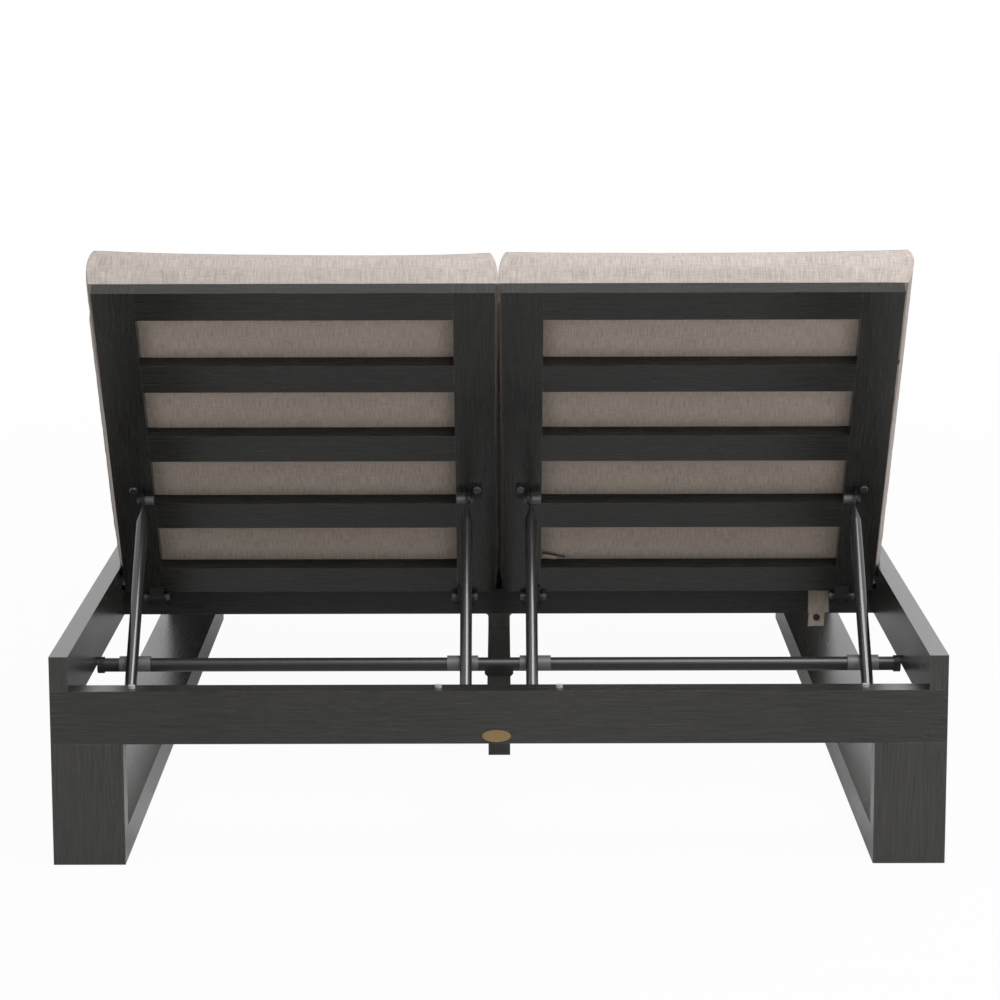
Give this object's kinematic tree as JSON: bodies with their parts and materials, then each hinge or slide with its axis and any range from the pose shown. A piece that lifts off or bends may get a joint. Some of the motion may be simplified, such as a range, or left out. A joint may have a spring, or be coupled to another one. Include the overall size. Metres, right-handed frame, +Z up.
{
  "type": "double chaise lounger",
  "caption": "Outdoor double chaise lounger: low aluminium base, slatted reclining backs on folding struts, and padded cushions.",
  "frame": {"origin": "on the floor, under the middle of the base", "axes": "+Z up, +Y from the head end to the foot end, +X to the right for someone who looks from the head end to the foot end"},
  "size_m": [1.524, 2.0021, 1.005],
  "materials": {
    "frame_aluminium": "brushed, charcoal powder coat",
    "bar_aluminium": "satin, charcoal powder coat",
    "bracket_aluminium": "satin, charcoal powder coat",
    "strut_aluminium": "satin, charcoal anodised",
    "fastener_steel": "satin",
    "nylon": "moulded, matte",
    "black_plastic": "moulded, matte",
    "plate_brass": "antiqued, satin",
    "cushion_fabric": "woven, linen look"
  },
  "bodies": {
    "base": {"left_side_rail": "frame_aluminium", "right_side_rail": "frame_aluminium", "rear_rail": "frame_aluminium", "front_rail": "frame_aluminium", "left_rear_leg": "frame_aluminium", "left_front_leg": "frame_aluminium", "right_rear_leg": "frame_aluminium", "right_front_leg": "frame_aluminium", "left_ground_rail": "frame_aluminium", "right_ground_rail": "frame_aluminium", "hinge_beam": "frame_aluminium", "seat_beam": "frame_aluminium", "centre_beam": "frame_aluminium", "centre_leg": "frame_aluminium", "beam_spacers": "frame_aluminium", "support_bar": "bar_aluminium", "bar_cradle": "bar_aluminium", "bar_sockets": "bar_aluminium", "bar_set_screws": "fastener_steel", "bar_saddles": "nylon", "left_seat_stiles": "frame_aluminium", "right_seat_stiles": "frame_aluminium", "left_seat_slats": "frame_aluminium", "right_seat_slats": "frame_aluminium", "back_bumpers": "nylon", "seat_pads": "nylon", "hinge_brackets": "bracket_aluminium", "hinge_bracket_screws": "fastener_steel", "hinge_pins": "fastener_steel", "hinge_pin_caps": "nylon", "oval_plate": "plate_brass", "plate_rivets": "plate_brass", "left_seat_cushion": "cushion_fabric", "right_seat_cushion": "cushion_fabric", "cushion_strap": "cushion_fabric", "strap_snap": "fastener_steel"},
    "left_back": {"left_back_stiles": "frame_aluminium", "left_back_slats": "frame_aluminium", "left_hinge_lugs": "bracket_aluminium", "left_strut_brackets": "bracket_aluminium", "left_strut_bolts": "fastener_steel", "left_strut_cap_nuts": "nylon", "left_bracket_bolts": "fastener_steel", "left_back_cushion": "cushion_fabric"},
    "left_outer_strut": {"left_outer_strut": "strut_aluminium", "left_outer_strut_plug": "black_plastic"},
    "left_inner_strut": {"left_inner_strut": "strut_aluminium", "left_inner_strut_plug": "black_plastic"},
    "right_back": {"right_back_stiles": "frame_aluminium", "right_back_slats": "frame_aluminium", "right_hinge_lugs": "bracket_aluminium", "right_strut_brackets": "bracket_aluminium", "right_strut_bolts": "fastener_steel", "right_strut_cap_nuts": "nylon", "right_bracket_bolts": "fastener_steel", "right_back_cushion": "cushion_fabric"},
    "right_outer_strut": {"right_outer_strut": "strut_aluminium", "right_outer_strut_plug": "black_plastic"},
    "right_inner_strut": {"right_inner_strut": "strut_aluminium", "right_inner_strut_plug": "black_plastic"}
  },
  "joints": [
    {"name": "left_back_recline", "type": "hinge", "parent": "base", "child": "left_back", "pos_m": [0, -0.2073, 0.3027], "axis": [1, 0, 0], "range_deg": [0, 55.5]},
    {"name": "left_outer_strut_fold", "type": "hinge", "parent": "left_back", "child": "left_outer_strut", "pos_m": [0, -0.36936, 0.52137], "axis": [1, 0, 0], "range_deg": [-99.91, 0]},
    {"name": "left_inner_strut_fold", "type": "hinge", "parent": "left_back", "child": "left_inner_strut", "pos_m": [0, -0.36936, 0.52137], "axis": [1, 0, 0], "range_deg": [-99.91, 0]},
    {"name": "right_back_recline", "type": "hinge", "parent": "base", "child": "right_back", "pos_m": [0, -0.2073, 0.3027], "axis": [1, 0, 0], "range_deg": [0, 55.5]},
    {"name": "right_outer_strut_fold", "type": "hinge", "parent": "right_back", "child": "right_outer_strut", "pos_m": [0, -0.36936, 0.52137], "axis": [1, 0, 0], "range_deg": [-99.91, 0]},
    {"name": "right_inner_strut_fold", "type": "hinge", "parent": "right_back", "child": "right_inner_strut", "pos_m": [0, -0.36936, 0.52137], "axis": [1, 0, 0], "range_deg": [-99.91, 0]}
  ],
  "couplings": [
    {"joint": "left_outer_strut_fold", "follows": "left_back_recline", "ratio": -1.8},
    {"joint": "left_inner_strut_fold", "follows": "left_back_recline", "ratio": -1.8},
    {"joint": "right_outer_strut_fold", "follows": "right_back_recline", "ratio": -1.8},
    {"joint": "right_inner_strut_fold", "follows": "right_back_recline", "ratio": -1.8}
  ]
}
